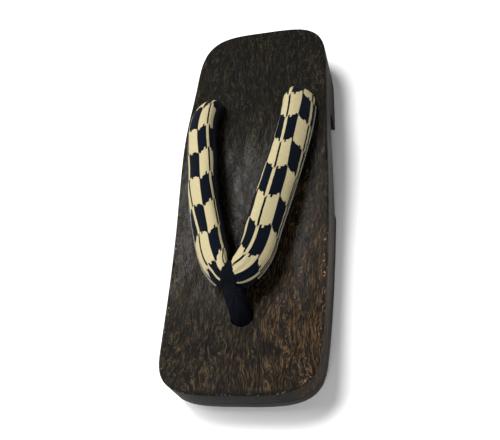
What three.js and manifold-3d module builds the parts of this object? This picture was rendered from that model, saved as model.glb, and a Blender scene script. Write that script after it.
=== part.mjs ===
// A geta sandal of the low, one-piece form: a wooden board with a heel block, rubber soles,
// a padded V strap and a toe thong that holds its crossing.
// Millimetres, +Z up, the toe towards -Y, the wearer's left towards +X, standing on Z = 0.
// Places in the tables are given by along, the distance from the heel end of the board.

import * as THREE from 'three';
import { mergeVertices } from 'three/addons/utils/BufferGeometryUtils.js';
import Module from 'manifold-3d';

const wasm = await Module();
wasm.setup();

// Driving dimensions
const LENGTH = 250;
const FIT = 0.3;
const HOLE_EASE = 0.5;
const BAND_EASE = 0.8;
const HEEL_CAP = { length: 48, power: 4 };
const TOE_CAP = { length: 30, power: 3.7 };
const EDGE_ROUND = 1.6;
const HEEL_PAD_THICKNESS = 5.5;
const SOLE_THICKNESS = 6;
const HEEL_FRONT = 64.5;
const SOLE_START = 133.5;
const SPRING = { start: 175, rise: 9.2, power: 1.6 };
const ARCH_HEIGHT = 20;
const ARCH_ROUND = 5;
const ARCH_BEND = 80;
const REAR_HOLE = { along: 72, out: 29, cord: 8 };
const FRONT_HOLE = { along: 205.5, thong: 12 };
const REAR_KNOT = { width: 12, height: 8, corner: 3.5 };
const FRONT_KNOT = { width: 17, height: 7, corner: 3 };
const RECESS = { width: 24, top: 14 };
const BAND = { half: 4.6, edge: 1.1, crown: 1.8 };
const OVER = 5;

// The board seen from above and from the side: half its width, and the height of its foot face.
const BOARD_ROWS = [
  { along: 0, half: 41.5, top: 33.2 },
  { along: 25, half: 42.6, top: 34.6 },
  { along: 50, half: 43.5, top: 34.6 },
  { along: 80, half: 44.7, top: 35.7 },
  { along: 100, half: 45.3, top: 34.6 },
  { along: 125, half: 45.8, top: 30.3 },
  { along: 150, half: 45.9, top: 26.3 },
  { along: 180, half: 45.5, top: 24.6 },
  { along: 215, half: 44.5, top: 25.7 },
  { along: 250, half: 42.8, top: 29.4 },
];

// The strap's arms, from inside the board at the rear to the crossing. out and up place the middle
// of the padding, turn is how far the arm heads inwards in plan, and lean tips its face outwards.
const LEFT_ARM = [
  { along: 67, out: 28.5, up: 31, wide: 18, thick: 13, turn: 0, lean: 35 },
  { along: 68, out: 28.5, up: 36, wide: 19, thick: 14, turn: 0, lean: 35 },
  { along: 72.5, out: 28.5, up: 41, wide: 20.5, thick: 15, turn: 2, lean: 35 },
  { along: 83, out: 28.5, up: 43.5, wide: 21, thick: 15, turn: 6, lean: 35 },
  { along: 97, out: 27, up: 44, wide: 21, thick: 15, turn: 10, lean: 35 },
  { along: 114, out: 23.5, up: 43.4, wide: 21, thick: 15, turn: 13, lean: 35 },
  { along: 136, out: 18.2, up: 42, wide: 21, thick: 15, turn: 13, lean: 35 },
  { along: 158, out: 12.8, up: 40.8, wide: 20.5, thick: 14.5, turn: 18, lean: 35 },
  { along: 175.5, out: 8.9, up: 40.3, wide: 20, thick: 14, turn: 30, lean: 36 },
  { along: 184.5, out: 4, up: 40.8, wide: 19, thick: 13, turn: 56, lean: 38 },
  { along: 187.9, out: 0, up: 41.1, wide: 17, thick: 11.5, turn: 74, lean: 39 },
  { along: 188.9, out: -1.7, up: 41.2, wide: 13.5, thick: 8.2, turn: 84, lean: 40 },
  { along: 189.3, out: -3.3, up: 41.2, wide: 13, thick: 7.5, turn: 90, lean: 40 },
];
const RIGHT_ARM = [
  { along: 70, out: 29, up: 31, wide: 18, thick: 13, turn: 0, lean: 35 },
  { along: 71, out: 29, up: 36, wide: 19, thick: 14, turn: 0, lean: 35 },
  { along: 76, out: 29.5, up: 41, wide: 20, thick: 15, turn: 0, lean: 35 },
  { along: 85, out: 30, up: 43.2, wide: 20, thick: 15, turn: 1, lean: 35 },
  { along: 97, out: 29.7, up: 43.6, wide: 20, thick: 15, turn: 4, lean: 35 },
  { along: 114, out: 27.5, up: 42.8, wide: 20, thick: 15, turn: 8, lean: 35 },
  { along: 136, out: 24.8, up: 41.4, wide: 20, thick: 15, turn: 11, lean: 35 },
  { along: 158, out: 19.8, up: 40.4, wide: 20, thick: 14.5, turn: 17, lean: 35 },
  { along: 175, out: 14.4, up: 40.2, wide: 20, thick: 14, turn: 29, lean: 36 },
  { along: 184, out: 9.2, up: 40.6, wide: 19, thick: 13, turn: 54, lean: 38 },
  { along: 187.6, out: 6.1, up: 41.1, wide: 17, thick: 11.5, turn: 72, lean: 39 },
  { along: 188.9, out: 4.4, up: 41.2, wide: 13.5, thick: 8.2, turn: 84, lean: 40 },
  { along: 189.3, out: 2.9, up: 41.2, wide: 13, thick: 7.5, turn: 90, lean: 40 },
];

// The thong's stem, from its knot up through the board to the crossing.
const THONG_ROWS = [
  { along: 205.5, out: 0, up: 12, wide: 11.6, deep: 11.6 },
  { along: 205.4, out: -0.1, up: 24, wide: 11.6, deep: 11.4 },
  { along: 204.5, out: -0.4, up: 29, wide: 11.6, deep: 11.2 },
  { along: 201, out: -0.9, up: 34, wide: 11.4, deep: 10.5 },
  { along: 196, out: -1.9, up: 37.6, wide: 10.6, deep: 9 },
  { along: 190.5, out: -3.1, up: 40, wide: 9.4, deep: 7.5 },
];

// Facets
const SIDE_STEP = 8;
const CAP_STEPS = 12;
const SECTION_SIDES = 20;
const STEPS_PER_ROW = 4;
const ROUND_SIDES = 24;
const CURVE_STEPS = 8;
const EDGE_STEPS = 3;
const CORNER_STEPS = 4;
const SPRING_STEPS = 14;
const STRAP_POWER = 2.3;

const toY = (along) => LENGTH / 2 - along;

// The value of a column at a distance along, on a smooth curve through the rows.
function column(rows, name, along) {
  const last = rows.length - 1;
  const slope = (i) => {
    const a = rows[Math.max(i - 1, 0)];
    const b = rows[Math.min(i + 1, last)];
    return (b[name] - a[name]) / (b.along - a.along);
  };
  const found = rows.findIndex((row) => row.along > along);
  const i = Math.min(Math.max(found < 0 ? last : found, 1), last);
  const span = rows[i].along - rows[i - 1].along;
  const t = (along - rows[i - 1].along) / span;
  const rise = (1 + 2 * t) * (1 - t) ** 2;
  const leave = t * (1 - t) ** 2 * span * slope(i - 1);
  const arrive = t * t * (t - 1) * span * slope(i);
  return rise * rows[i - 1][name] + (1 - rise) * rows[i][name] + leave + arrive;
}

// Solids

function toSolid(geometry) {
  geometry.deleteAttribute('normal');
  geometry.deleteAttribute('uv');
  const merged = mergeVertices(geometry, 1e-4);
  return new wasm.Manifold(new wasm.Mesh({
    numProp: 3,
    vertProperties: new Float32Array(merged.attributes.position.array),
    triVerts: new Uint32Array(merged.index.array),
  }));
}

function toMesh(name, solid, material) {
  const { vertProperties, triVerts } = solid.getMesh();
  const geometry = new THREE.BufferGeometry();
  geometry.setAttribute('position', new THREE.BufferAttribute(vertProperties, 3));
  geometry.setIndex(new THREE.BufferAttribute(triVerts, 1));
  geometry.computeVertexNormals();
  const mesh = new THREE.Mesh(geometry, material);
  mesh.name = name;
  return mesh;
}

// A closed body through rings that have the same number of points, each ring running the same
// way round, with a fan over each end.
function loft(rings) {
  const sides = rings[0].length;
  const middles = [rings[0], rings[rings.length - 1]].map((ring) => (
    ring.reduce((sum, p) => sum.add(p), new THREE.Vector3()).divideScalar(sides)));
  const points = [...rings.flat(), ...middles];
  const index = [];
  for (let r = 0; r < rings.length - 1; r++) {
    for (let k = 0; k < sides; k++) {
      const a = r * sides + k;
      const b = r * sides + ((k + 1) % sides);
      index.push(a, b, b + sides, a, b + sides, a + sides);
    }
  }
  const end = (rings.length - 1) * sides;
  for (let k = 0; k < sides; k++) {
    const next = (k + 1) % sides;
    index.push(points.length - 2, next, k);
    index.push(points.length - 1, end + k, end + next);
  }
  const geometry = new THREE.BufferGeometry().setFromPoints(points);
  geometry.setIndex(index);
  return toSolid(geometry);
}

// A side view, drawn as along and height, carried across the whole width of the board.
function across(shape) {
  const width = 4 * BOARD_ROWS[0].half;
  const geometry = new THREE.ExtrudeGeometry(shape, {
    depth: width, bevelEnabled: false, curveSegments: CURVE_STEPS,
  });
  const turn = new THREE.Matrix4().makeBasis(
    new THREE.Vector3(0, -1, 0), new THREE.Vector3(0, 0, 1), new THREE.Vector3(-1, 0, 0));
  geometry.applyMatrix4(turn);
  geometry.translate(width / 2, LENGTH / 2, 0);
  return toSolid(geometry);
}

function rod(diameter, along, out, bottom, top) {
  const geometry = new THREE.CylinderGeometry(diameter / 2, diameter / 2, top - bottom, ROUND_SIDES);
  geometry.rotateX(Math.PI / 2);
  geometry.translate(out, toY(along), (top + bottom) / 2);
  return toSolid(geometry);
}

// A cord's knot, pulled into a thick disc with rounded edges below a given height.
function knot(size, along, out, top) {
  const radius = size.width / 2;
  const profile = [new THREE.Vector2(0, top - size.height)];
  for (const [from, height] of [[-1, top - size.height + size.corner], [0, top - size.corner]]) {
    for (let step = 0; step <= CORNER_STEPS; step++) {
      const angle = (from + step / CORNER_STEPS) * (Math.PI / 2);
      profile.push(new THREE.Vector2(
        radius - size.corner + size.corner * Math.cos(angle),
        height + size.corner * Math.sin(angle)));
    }
  }
  profile.push(new THREE.Vector2(0, top));
  const geometry = new THREE.LatheGeometry(profile, ROUND_SIDES);
  geometry.rotateX(Math.PI / 2);
  geometry.translate(out, toY(along), 0);
  return toSolid(geometry);
}

// Board and soles

// Distances along at which the outline has a point, closer together in the rounded ends.
function outlineStations() {
  const stations = [];
  for (let k = 0; k < CAP_STEPS; k++) {
    const angle = (k / CAP_STEPS) * (Math.PI / 2);
    stations.push(HEEL_CAP.length * (1 - Math.cos(angle) ** (2 / HEEL_CAP.power)));
  }
  const straight = LENGTH - HEEL_CAP.length - TOE_CAP.length;
  const steps = Math.round(straight / SIDE_STEP);
  for (let k = 0; k <= steps; k++) {
    stations.push(HEEL_CAP.length + (straight * k) / steps);
  }
  for (let k = CAP_STEPS - 1; k >= 0; k--) {
    const angle = (k / CAP_STEPS) * (Math.PI / 2);
    stations.push(LENGTH - TOE_CAP.length * (1 - Math.cos(angle) ** (2 / TOE_CAP.power)));
  }
  return stations;
}

function halfWidth(along) {
  const fromHeel = Math.max(1 - along / HEEL_CAP.length, 0);
  const fromToe = Math.max(1 - (LENGTH - along) / TOE_CAP.length, 0);
  const heel = (1 - fromHeel ** HEEL_CAP.power) ** (1 / HEEL_CAP.power);
  const toe = (1 - fromToe ** TOE_CAP.power) ** (1 / TOE_CAP.power);
  return column(BOARD_ROWS, 'half', along) * Math.min(heel, toe);
}

const footFace = (along) => column(BOARD_ROWS, 'top', along);

const groundLine = (along) => (
  SPRING.rise * Math.max((along - SPRING.start) / (LENGTH - SPRING.start), 0) ** SPRING.power);

// The whole block under the foot face, its top edge eased, raised by a clearance where asked.
function blank(raise = 0) {
  const stations = outlineStations();
  const ring = (inset, height) => {
    const scale = (LENGTH / 2 - inset) / (LENGTH / 2);
    const side = (sign) => (along) => {
      const half = Math.max(halfWidth(along) - inset, 0);
      const y = toY(along) * scale;
      return new THREE.Vector3(sign * half, y, height(LENGTH / 2 - y));
    };
    const right = stations.map(side(1));
    const left = stations.slice(1, -1).reverse().map(side(-1));
    return [...right.reverse(), ...left.reverse()];
  };
  const rings = [ring(0, () => -OVER)];
  for (let step = 0; step <= EDGE_STEPS; step++) {
    const angle = (step / EDGE_STEPS) * (Math.PI / 2);
    const inset = EDGE_ROUND * (1 - Math.cos(angle));
    const drop = EDGE_ROUND * (1 - Math.sin(angle)) - raise;
    rings.push(ring(inset, (along) => footFace(along) - drop));
  }
  return bridge(rings);
}

// A closed body through rings, each end closed by strips straight across from side to side.
function bridge(rings) {
  const sides = rings[0].length;
  const index = [];
  for (let r = 0; r < rings.length - 1; r++) {
    for (let k = 0; k < sides; k++) {
      const a = r * sides + k;
      const b = r * sides + ((k + 1) % sides);
      index.push(a, b, b + sides, a, b + sides, a + sides);
    }
  }
  const half = sides / 2;
  const end = (rings.length - 1) * sides;
  for (let k = 0; k < half; k++) {
    const a = k;
    const b = k + 1;
    const c = (sides - k - 1) % sides;
    const d = (sides - k) % sides;
    for (const [p, q, s] of [[a, b, c], [a, c, d]]) {
      if (p !== q && q !== s && p !== s) {
        index.push(s, q, p);
        index.push(end + p, end + q, end + s);
      }
    }
  }
  const geometry = new THREE.BufferGeometry().setFromPoints(rings.flat());
  geometry.setIndex(index);
  return toSolid(geometry);
}

// Draws the ground line from one distance to another, at a height above it.
function followGround(shape, from, to, above) {
  for (let k = 0; k <= SPRING_STEPS; k++) {
    const along = from + ((to - from) * k) / SPRING_STEPS;
    shape.lineTo(along, groundLine(along) + above);
  }
}

// Everything under the wood: heel pad, arch notch and forefoot sole.
function belowWood() {
  const shape = new THREE.Shape();
  shape.moveTo(-OVER, -2 * OVER);
  shape.lineTo(-OVER, HEEL_PAD_THICKNESS);
  shape.lineTo(HEEL_FRONT, HEEL_PAD_THICKNESS);
  shape.lineTo(HEEL_FRONT, ARCH_HEIGHT - ARCH_ROUND);
  shape.absarc(HEEL_FRONT + ARCH_ROUND, ARCH_HEIGHT - ARCH_ROUND, ARCH_ROUND, Math.PI, Math.PI / 2, true);
  shape.quadraticCurveTo(
    ARCH_BEND, ARCH_HEIGHT, ARCH_BEND + ARCH_ROUND, archLine(ARCH_BEND + ARCH_ROUND));
  shape.lineTo(SOLE_START, SOLE_THICKNESS);
  followGround(shape, SPRING.start, LENGTH + OVER, SOLE_THICKNESS);
  shape.lineTo(LENGTH + OVER, -2 * OVER);
  return across(shape);
}

// The straight slope of the arch, from its bend down to the forefoot sole.
function archLine(along) {
  const share = (along - ARCH_BEND) / (SOLE_START - ARCH_BEND);
  return ARCH_HEIGHT + share * (SOLE_THICKNESS - ARCH_HEIGHT);
}

function heelPadView() {
  const shape = new THREE.Shape();
  shape.moveTo(-OVER, 0);
  shape.lineTo(HEEL_FRONT, 0);
  shape.lineTo(HEEL_FRONT, HEEL_PAD_THICKNESS - FIT);
  shape.lineTo(-OVER, HEEL_PAD_THICKNESS - FIT);
  return across(shape);
}

function forefootView() {
  const shape = new THREE.Shape();
  shape.moveTo(SOLE_START, SOLE_THICKNESS - FIT);
  shape.lineTo(SOLE_START, 0);
  followGround(shape, SPRING.start, LENGTH + OVER, 0);
  const upper = new THREE.Shape();
  upper.moveTo(SPRING.start, 0);
  followGround(upper, SPRING.start, LENGTH + OVER, SOLE_THICKNESS - FIT);
  for (const point of upper.getPoints().slice(1).reverse()) {
    shape.lineTo(point.x, point.y);
  }
  return across(shape);
}

const recess = () => rod(RECESS.width, FRONT_HOLE.along, 0, -OVER, RECESS.top);

function makeBoard() {
  let solid = blank().subtract(belowWood()).subtract(recess());
  solid = solid.subtract(rod(FRONT_HOLE.thong + 2 * HOLE_EASE, FRONT_HOLE.along, 0, 0, 2 * ARCH_HEIGHT));
  for (const side of [-1, 1]) {
    const width = REAR_HOLE.cord + 2 * HOLE_EASE;
    const hole = rod(width, REAR_HOLE.along, side * REAR_HOLE.out, 0, 2 * ARCH_HEIGHT);
    solid = solid.subtract(hole);
  }
  return solid;
}

const makeForefootSole = () => blank().intersect(forefootView()).subtract(recess());

const makeHeelPad = () => blank().intersect(heelPadView());

// Strap and thong

// One section of an arm: an oval of padding, square to the row's heading and to the path's slope,
// grown where asked.
function armSection(row, place, tangent, grow) {
  const turn = THREE.MathUtils.degToRad(row.turn);
  const lean = THREE.MathUtils.degToRad(row.lean);
  const outward = new THREE.Vector3(Math.cos(turn), -Math.sin(turn), 0);
  const heading = new THREE.Vector3(-Math.sin(turn), -Math.cos(turn), 0);
  const direction = heading.clone().multiplyScalar(tangent.dot(heading));
  direction.setZ(tangent.z).normalize();
  const above = new THREE.Vector3().crossVectors(direction, outward);
  const breadth = outward.clone().multiplyScalar(Math.cos(lean)).addScaledVector(above, -Math.sin(lean));
  const face = outward.clone().multiplyScalar(Math.sin(lean)).addScaledVector(above, Math.cos(lean));
  const round = (value) => Math.sign(value) * Math.abs(value) ** (2 / STRAP_POWER);
  const ring = [];
  for (let k = 0; k < SECTION_SIDES; k++) {
    const angle = (k / SECTION_SIDES) * 2 * Math.PI;
    ring.push(place.clone()
      .addScaledVector(breadth, (row.wide / 2 + grow) * round(Math.cos(angle)))
      .addScaledVector(face, (row.thick / 2 + grow) * round(Math.sin(angle))));
  }
  return ring;
}

function makeArm(rows, side, grow) {
  const path = new THREE.CatmullRomCurve3(
    rows.map((row) => new THREE.Vector3(row.out, toY(row.along), row.up)));
  const steps = (rows.length - 1) * STEPS_PER_ROW;
  const rings = [];
  for (let k = 0; k <= steps; k++) {
    const at = k / STEPS_PER_ROW;
    const low = rows[Math.floor(at)];
    const high = rows[Math.ceil(at)];
    const share = at - Math.floor(at);
    const row = {};
    for (const name of ['wide', 'thick', 'turn', 'lean']) {
      row[name] = THREE.MathUtils.lerp(low[name], high[name], share);
    }
    const ring = armSection(row, path.getPoint(k / steps), path.getTangent(k / steps), grow);
    rings.push(side > 0 ? ring : ring.map((p) => new THREE.Vector3(-p.x, p.y, p.z)).reverse());
  }
  return loft(rings);
}

function padding(grow = 0) {
  return makeArm(LEFT_ARM, 1, grow).add(makeArm(RIGHT_ARM, -1, grow));
}

function makeStrap() {
  let solid = padding().subtract(blank(FIT));
  for (const side of [-1, 1]) {
    const out = side * REAR_HOLE.out;
    const knotTop = ARCH_HEIGHT - FIT;
    const cordTop = footFace(REAR_HOLE.along) + OVER;
    solid = solid.add(rod(REAR_HOLE.cord, REAR_HOLE.along, out, knotTop - FIT, cordTop));
    solid = solid.add(knot(REAR_KNOT, REAR_HOLE.along, out, knotTop));
  }
  return solid;
}

// The band round the crossing, as thick padding over the strap's own shape.
function band() {
  const rings = [];
  const tip = LEFT_ARM[LEFT_ARM.length - 1];
  for (const [x, cover] of [[-1, 0], [-0.75, 0.7], [0, 1], [0.75, 0.7], [1, 0]]) {
    const grow = BAND.edge + cover * (BAND.crown - BAND.edge);
    const place = new THREE.Vector3(tip.out - x * BAND.half, toY(tip.along), tip.up);
    rings.push(armSection(tip, place, new THREE.Vector3(-1, 0, 0), grow));
  }
  return loft(rings);
}

function stem() {
  const path = new THREE.CatmullRomCurve3(
    THONG_ROWS.map((row) => new THREE.Vector3(row.out, toY(row.along), row.up)));
  const steps = (THONG_ROWS.length - 1) * STEPS_PER_ROW;
  const right = new THREE.Vector3(1, 0, 0);
  const rings = [];
  for (let k = 0; k <= steps; k++) {
    const at = k / STEPS_PER_ROW;
    const low = THONG_ROWS[Math.floor(at)];
    const high = THONG_ROWS[Math.ceil(at)];
    const share = at - Math.floor(at);
    const wide = THREE.MathUtils.lerp(low.wide, high.wide, share);
    const deep = THREE.MathUtils.lerp(low.deep, high.deep, share);
    const place = path.getPoint(k / steps);
    const back = new THREE.Vector3().crossVectors(path.getTangent(k / steps), right);
    const ring = [];
    for (let s = 0; s < SECTION_SIDES; s++) {
      const angle = (s / SECTION_SIDES) * 2 * Math.PI;
      ring.push(place.clone()
        .addScaledVector(right, (wide / 2) * Math.cos(angle))
        .addScaledVector(back, (deep / 2) * Math.sin(angle)));
    }
    rings.push(ring);
  }
  return loft(rings);
}

function makeThong() {
  const knotTop = RECESS.top - FIT;
  const loose = stem().add(knot(FRONT_KNOT, FRONT_HOLE.along, 0, knotTop)).add(band());
  return loose.subtract(padding(BAND_EASE));
}

// Materials
const wood = new THREE.MeshStandardMaterial({ color: 0x3a2a20, roughness: 0.62, metalness: 0 });
const rubber = new THREE.MeshStandardMaterial({ color: 0x17171a, roughness: 0.85, metalness: 0 });
const cotton = new THREE.MeshStandardMaterial({ color: 0x8d8467, roughness: 0.9, metalness: 0 });
const velvet = new THREE.MeshStandardMaterial({ color: 0x0d1016, roughness: 0.95, metalness: 0 });

const geta = new THREE.Group();
geta.add(toMesh('board', makeBoard(), wood));
geta.add(toMesh('forefoot_sole', makeForefootSole(), rubber));
geta.add(toMesh('heel_sole', makeHeelPad(), rubber));
geta.add(toMesh('strap', makeStrap(), cotton));
geta.add(toMesh('toe_thong', makeThong(), velvet));

export default geta;
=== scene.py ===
"""A geta sandal: a scorched wooden board on rubber soles, with a padded V strap of arrow-feather
cotton and a dark cloth thong. Metres, +Z up, the toe towards -Y, the wearer's left towards +X."""

import math

import bmesh
import bpy
import numpy as np
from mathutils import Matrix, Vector


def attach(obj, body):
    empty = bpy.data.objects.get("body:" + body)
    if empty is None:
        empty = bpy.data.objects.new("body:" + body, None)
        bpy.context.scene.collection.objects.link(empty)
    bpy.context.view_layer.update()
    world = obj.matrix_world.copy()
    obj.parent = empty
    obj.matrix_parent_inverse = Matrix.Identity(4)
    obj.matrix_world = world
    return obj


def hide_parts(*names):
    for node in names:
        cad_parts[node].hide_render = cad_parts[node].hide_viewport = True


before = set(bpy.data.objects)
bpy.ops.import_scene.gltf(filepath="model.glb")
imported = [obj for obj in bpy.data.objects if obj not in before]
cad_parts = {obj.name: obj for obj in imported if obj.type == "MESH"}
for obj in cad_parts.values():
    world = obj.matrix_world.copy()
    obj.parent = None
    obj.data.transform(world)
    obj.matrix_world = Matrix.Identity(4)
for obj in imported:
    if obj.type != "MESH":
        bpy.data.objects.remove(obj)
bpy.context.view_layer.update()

MM = 0.001

# The camera, where it stood to the shoe, with the shoe's axis at the slant it has in the picture.
CAMERA_PLACE = Vector((0.1010, -0.2212, 0.3459))
CAMERA_AIM = Vector((-0.0045, -0.0125, 0.0125))
CAMERA_LENS = 48.5
HEEL_PIXEL = (111, 71)
TOE_PIXEL = (83, 377)

# The studio: each lamp stands in its direction from the shoe, a way off in metres, and shines in
# watts. The sheen panel gives the wood its gloss between the arms.
LAMPS = [
    {"name": "sheen_panel", "way": (-0.26, 0.22, 0.94), "distance": 1.1, "size": 0.4, "power": 12},
    {"name": "left_softbox", "way": (-0.65, 0.0, 0.9), "distance": 1.3, "size": 0.6, "power": 8.6},
    {"name": "front_softbox", "way": (0.15, -1, 0.95), "distance": 1.4, "size": 0.9, "power": 8.8},
]
SKY = 0.16
PAPER = (0.86, 0.86, 0.86, 1)

# The board, in millimetres, by the distance from its heel end.
LENGTH = 250
EDGE_ROUND = 1.7
HEEL_CAP = {"length": 48, "power": 4, "first": 10}
TOE_CAP = {"length": 30, "power": 3.7, "first": 12}
CAP_STEPS = 18
SIDE_STEP = 5
HEEL_PAD_THICKNESS = 5.5
SOLE_THICKNESS = 6
FIT = 0.3
HEEL_FRONT = 64.5
SOLE_START = 133.5
SPRING = {"start": 175, "rise": 9.2, "power": 1.6}
ARCH_HEIGHT = 20
ARCH_ROUND = 5
ARCH_BEND = 82
REAR_HOLE = {"along": 72, "out": 29, "width": 9}
FRONT_HOLE = {"along": 205.5, "width": 13}
RECESS = {"width": 24, "top": 14}
FACE_INSET = 5
LOWER_ROUND = 0.6
RUBBER_ROUND = 0.9
RUBBER_EASE = 0.4
SMOOTH_ANGLE = 35
STATION_GAP = 1.2
END_STEP = 2
ARCH_STEPS = 6
BEND_SPREAD = 3
HEEL_STEP = 0.05
WORN_RIM = {"below": 1.2, "inside": 2.6}

# Half the board's width, and the height of its foot face, by the distance along.
BOARD_ROWS = [
    {"along": 0, "half": 41.5, "top": 33.2},
    {"along": 25, "half": 42.6, "top": 34.6},
    {"along": 50, "half": 43.5, "top": 34.6},
    {"along": 80, "half": 44.7, "top": 35.7},
    {"along": 100, "half": 45.3, "top": 34.6},
    {"along": 125, "half": 45.8, "top": 30.3},
    {"along": 150, "half": 45.9, "top": 26.3},
    {"along": 180, "half": 45.5, "top": 24.6},
    {"along": 215, "half": 44.5, "top": 25.7},
    {"along": 250, "half": 42.8, "top": 29.4},
]

# The strap's arms, from inside the board at the rear to the crossing: the middle of the padding,
# its breadth and thickness, how far it heads inwards in plan, and how far its face tips outwards.
ARM_COLUMNS = ("along", "out", "up", "wide", "thick", "turn", "lean")
LEFT_ARM = [
    (67, 28.5, 31, 18, 13, 0, 35),
    (68, 28.5, 36, 19, 14, 0, 35),
    (72.5, 28.5, 41, 20.5, 15, 2, 35),
    (83, 28.5, 43.5, 21, 15, 6, 35),
    (97, 27, 44, 21, 15, 10, 35),
    (114, 23.5, 43.4, 21, 15, 13, 35),
    (136, 18.2, 42, 21, 15, 13, 35),
    (158, 12.8, 40.8, 20.5, 14.5, 18, 35),
    (175.5, 8.9, 40.3, 20, 14, 30, 36),
    (184.5, 4, 40.8, 19, 13, 56, 38),
    (187.9, 0, 41.1, 17, 11.5, 74, 39),
    (188.9, -1.7, 41.2, 13.5, 8.2, 84, 40),
    (189.3, -3.1, 41.2, 13, 7.5, 90, 40),
]
RIGHT_ARM = [
    (70, 29, 31, 18, 13, 0, 35),
    (71, 29, 36, 19, 14, 0, 35),
    (76, 29.5, 41, 20, 15, 0, 35),
    (85, 30, 43.2, 20, 15, 1, 35),
    (97, 29.7, 43.6, 20, 15, 4, 35),
    (114, 27.5, 42.8, 20, 15, 8, 35),
    (136, 24.8, 41.4, 20, 15, 11, 35),
    (158, 19.8, 40.4, 20, 14.5, 17, 35),
    (175, 14.4, 40.2, 20, 14, 29, 36),
    (184, 9.2, 40.6, 19, 13, 54, 38),
    (187.6, 6.1, 41.1, 17, 11.5, 72, 39),
    (188.9, 4.4, 41.2, 13.5, 8.2, 84, 40),
    (189.3, 3.1, 41.2, 13, 7.5, 90, 40),
]
STRAP_POWER = 2.3
RING_STEP = 1.7
PATH_STEPS = 12
STRAP_SEAT = {"along": 72, "reach": 10, "rear": 30, "lift": 0.2}

# The cotton's two seams on the padding's girth, from the ridge of the face, outwards positive.
OUTER_SEAM = 10.6
INNER_SEAM = -14.5
SEAM_DEPTH = 0.55
SEAM_REACH = 1.3
GIRTH_STEPS = 40
GIRTH_OVAL = (20.5, 15)

# The padding's unevenness: puckers along the seams, gathers at the crossing, and slow swells.
PUCKERS = [
    {"seam": OUTER_SEAM, "depth": 0.12, "waves": 0.93, "start": 0},
    {"seam": INNER_SEAM, "depth": 0.1, "waves": 0.71, "start": 1},
]
PUCKER_REACH = 4
GATHER = {"depth": 0.45, "reach": 11, "waves": 1.5, "start": 0.4}
SWELL = {"depth": 0.18, "waves": 0.21, "drift": 0.083, "turn": 0.2}

# The thin cord in the outer seam, and how far it stops from the arm's rear end and the crossing.
PIPING = {"radius": 0.5, "past_seam": 0.3, "raised": 0.15, "rear": 14, "front": 7}

# The cotton's feathers: columns along the strap, each of blocks that are light and dark in turn.
COLUMN_WIDTH = 13.8
INNER_HALF = 5.9
BLOCK_LENGTH = 17.5
FEATHER_SLANT = 0.7
THREAD = 1.05
FRAY = 2.3
DARK_SHAFT = (0.5, 0.72)
LIGHT_SHAFT = (0.8, 1.02)
COLUMN_EDGE = (0.05, 0.4)

# How the cotton's pattern lies on the strap: the distance along it from its middle, the number of
# feather blocks there, and how far round the padding the shaft of the inner column, the line
# between the columns and the shaft of the outer column run.
PATTERN_ROWS = [
    (-135, -1.1, -9, -1.1, 5.8),
    (-116, 0, -8.5, -0.7, 6.2),
    (-99, 1, -7.7, -1.8, 7),
    (-82, 2, -6.9, -1, 7.8),
    (-65, 3, -5.9, 1.3, 8.8),
    (-28, 5, -4.9, 2.9, 9.8),
    (-9.5, 6, -5.8, 1.6, 8.5),
    (2, 6.35, -8, -1.1, 5),
    (10, 6.7, -11.5, -4.4, 1.5),
    (16.5, 7.05, -12.8, -5.2, 2.5),
    (34.5, 8, -13.3, -6.3, 0.6),
    (53, 9, -13.3, -6.1, 2.5),
    (72, 10, -12, -5.6, 4.2),
    (106, 12, -10.8, -4.6, 6.4),
    (120, 12.9, -9.8, -6.1, 5.2),
    (135, 13.8, -9.5, -6.1, 5),
]

# The thong's stem, from its knot up to the crossing.
THONG_ROWS = [
    {"along": 205.5, "out": 0, "up": 9, "wide": 11.5, "deep": 11.5},
    {"along": 205.4, "out": -0.1, "up": 24, "wide": 11.6, "deep": 11.4},
    {"along": 204.5, "out": -0.4, "up": 29, "wide": 11.6, "deep": 11.2},
    {"along": 201, "out": -0.9, "up": 34, "wide": 11.4, "deep": 10.5},
    {"along": 196, "out": -2.3, "up": 37.6, "wide": 10.6, "deep": 9},
    {"along": 190.5, "out": -3.8, "up": 40, "wide": 9.4, "deep": 7.5},
]
STEM_STEPS = 6
THONG_SIDES = 32
THONG_VOXEL = 0.55

# The thong's band round the crossing: how far it reaches to each side in front and behind, how
# thick it is at its edge and its crown, and its cover from edge to edge.
BAND = {"front": 5.2, "back": 2.9, "edge": 0.7, "crown": 1.5}
BAND_COVER = [(-1, 0), (-0.8, 0.75), (-0.4, 0.97), (0, 1), (0.4, 0.97), (0.8, 0.75), (1, 0)]
PASSAGE = {"clear": 0.35, "longer": 4}

# Folds round the thong, and where along the stem they begin.
FOLDS = [
    {"depth": 0.22, "number": 7, "slant": 0.12, "start": 0},
    {"depth": 0.12, "number": 11, "slant": -0.2, "start": 1},
]
FOLD_AXIS = 199
FOLD_FOOT = {"up": 24, "fade": 6}

# The knots under the wood.
REAR_KNOT = {"up": 16.2, "radius": 4.4, "height": 2.6}
FRONT_KNOT = {"up": 9.6, "radius": 6, "height": 2.4, "stem_top": 12}
CORD_RADIUS = 1.9
REAR_CORD_SHORT = 0.5
KNOT_STEPS = 48
STEM_SWELL = 1.5


def to_y(along):
    return LENGTH / 2 - along


def column(rows, name, along):
    """The value of a column at a distance along, on a smooth curve through the rows."""
    last = len(rows) - 1

    def slope(i):
        a = rows[max(i - 1, 0)]
        b = rows[min(i + 1, last)]
        return (b[name] - a[name]) / (b["along"] - a["along"])

    i = next((k for k in range(1, last) if rows[k]["along"] > along), last)
    span = rows[i]["along"] - rows[i - 1]["along"]
    t = (along - rows[i - 1]["along"]) / span
    rise = (1 + 2 * t) * (1 - t) ** 2
    leave = t * (1 - t) ** 2 * span * slope(i - 1)
    arrive = t * t * (t - 1) * span * slope(i)
    return rise * rows[i - 1][name] + (1 - rise) * rows[i][name] + leave + arrive


def foot_face(along):
    return column(BOARD_ROWS, "top", min(max(along, 0), LENGTH))


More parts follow.
